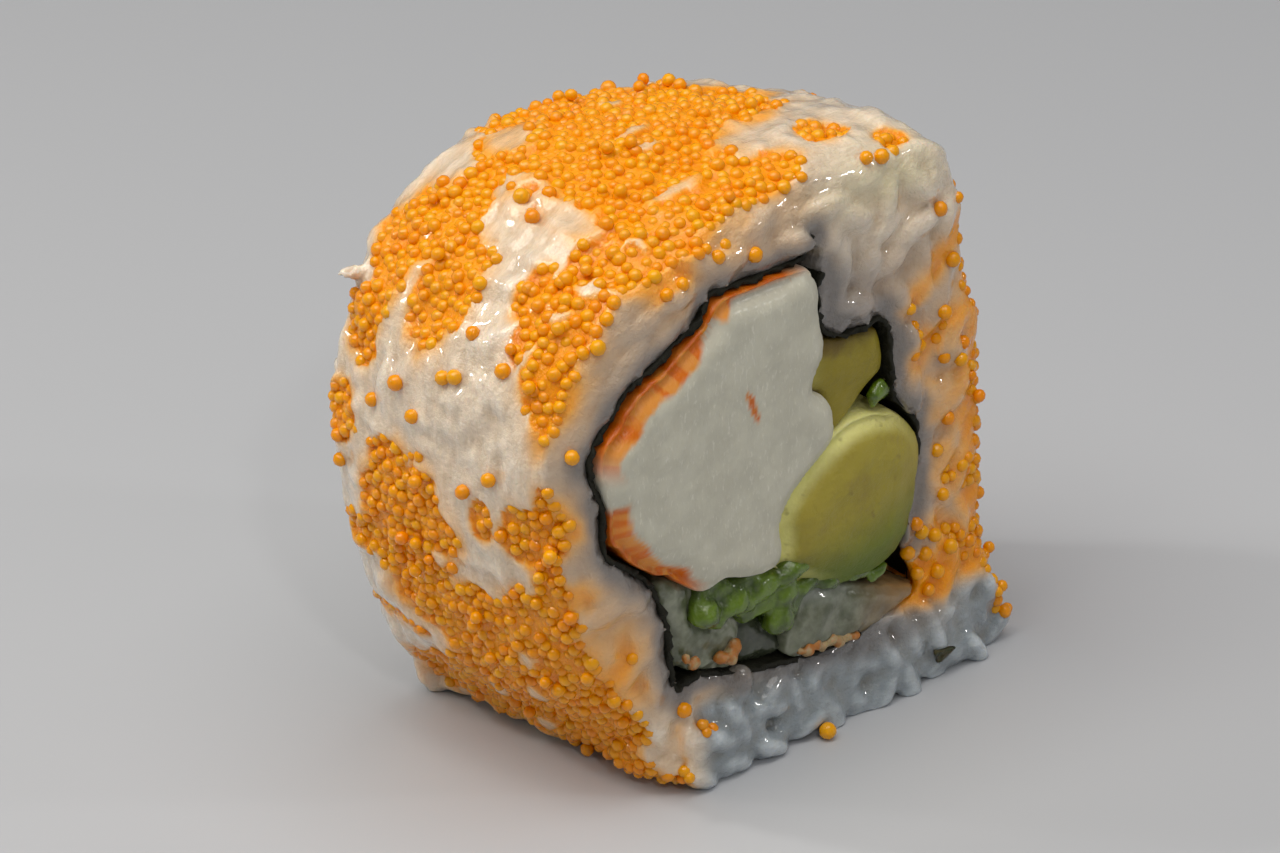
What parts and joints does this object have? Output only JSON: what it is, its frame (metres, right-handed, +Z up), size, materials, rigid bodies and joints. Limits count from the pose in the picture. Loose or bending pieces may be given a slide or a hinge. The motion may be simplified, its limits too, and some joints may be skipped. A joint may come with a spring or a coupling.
{
  "type": "uramaki sushi roll piece",
  "caption": "One cut piece of an inside-out sushi roll: rice jacket flecked with orange fish roe round a sheet of nori, crab stick, avocado and cucumber.",
  "frame": {"origin": "middle of the bounding box's base, on the surface that the piece rests on", "axes": "+Y along the roll's axis from the front cut face to the back one, +X to the right as the front cut face is looked at, +Z up"},
  "size_m": [0.043, 0.023, 0.0419],
  "materials": {
    "rice": "cooked rice, moist, slightly translucent",
    "nori": "damp dried seaweed, near black",
    "crab_stick": "fine white fish fibre with an orange skin",
    "avocado": "smooth oily flesh, yellow to green",
    "avocado_mash": "wet bright green mash",
    "cucumber": "wet, translucent pale green flesh",
    "roe": "small wet translucent orange eggs"
  },
  "bodies": {
    "root": {"rice": "rice", "nori": "nori", "crab_stick": "crab_stick", "avocado_upper": "avocado", "avocado_lower": "avocado", "avocado_mash": "avocado_mash", "cucumber_right": "cucumber", "cucumber_left": "cucumber", "cucumber_core": "cucumber"}
  },
  "joints": []
}
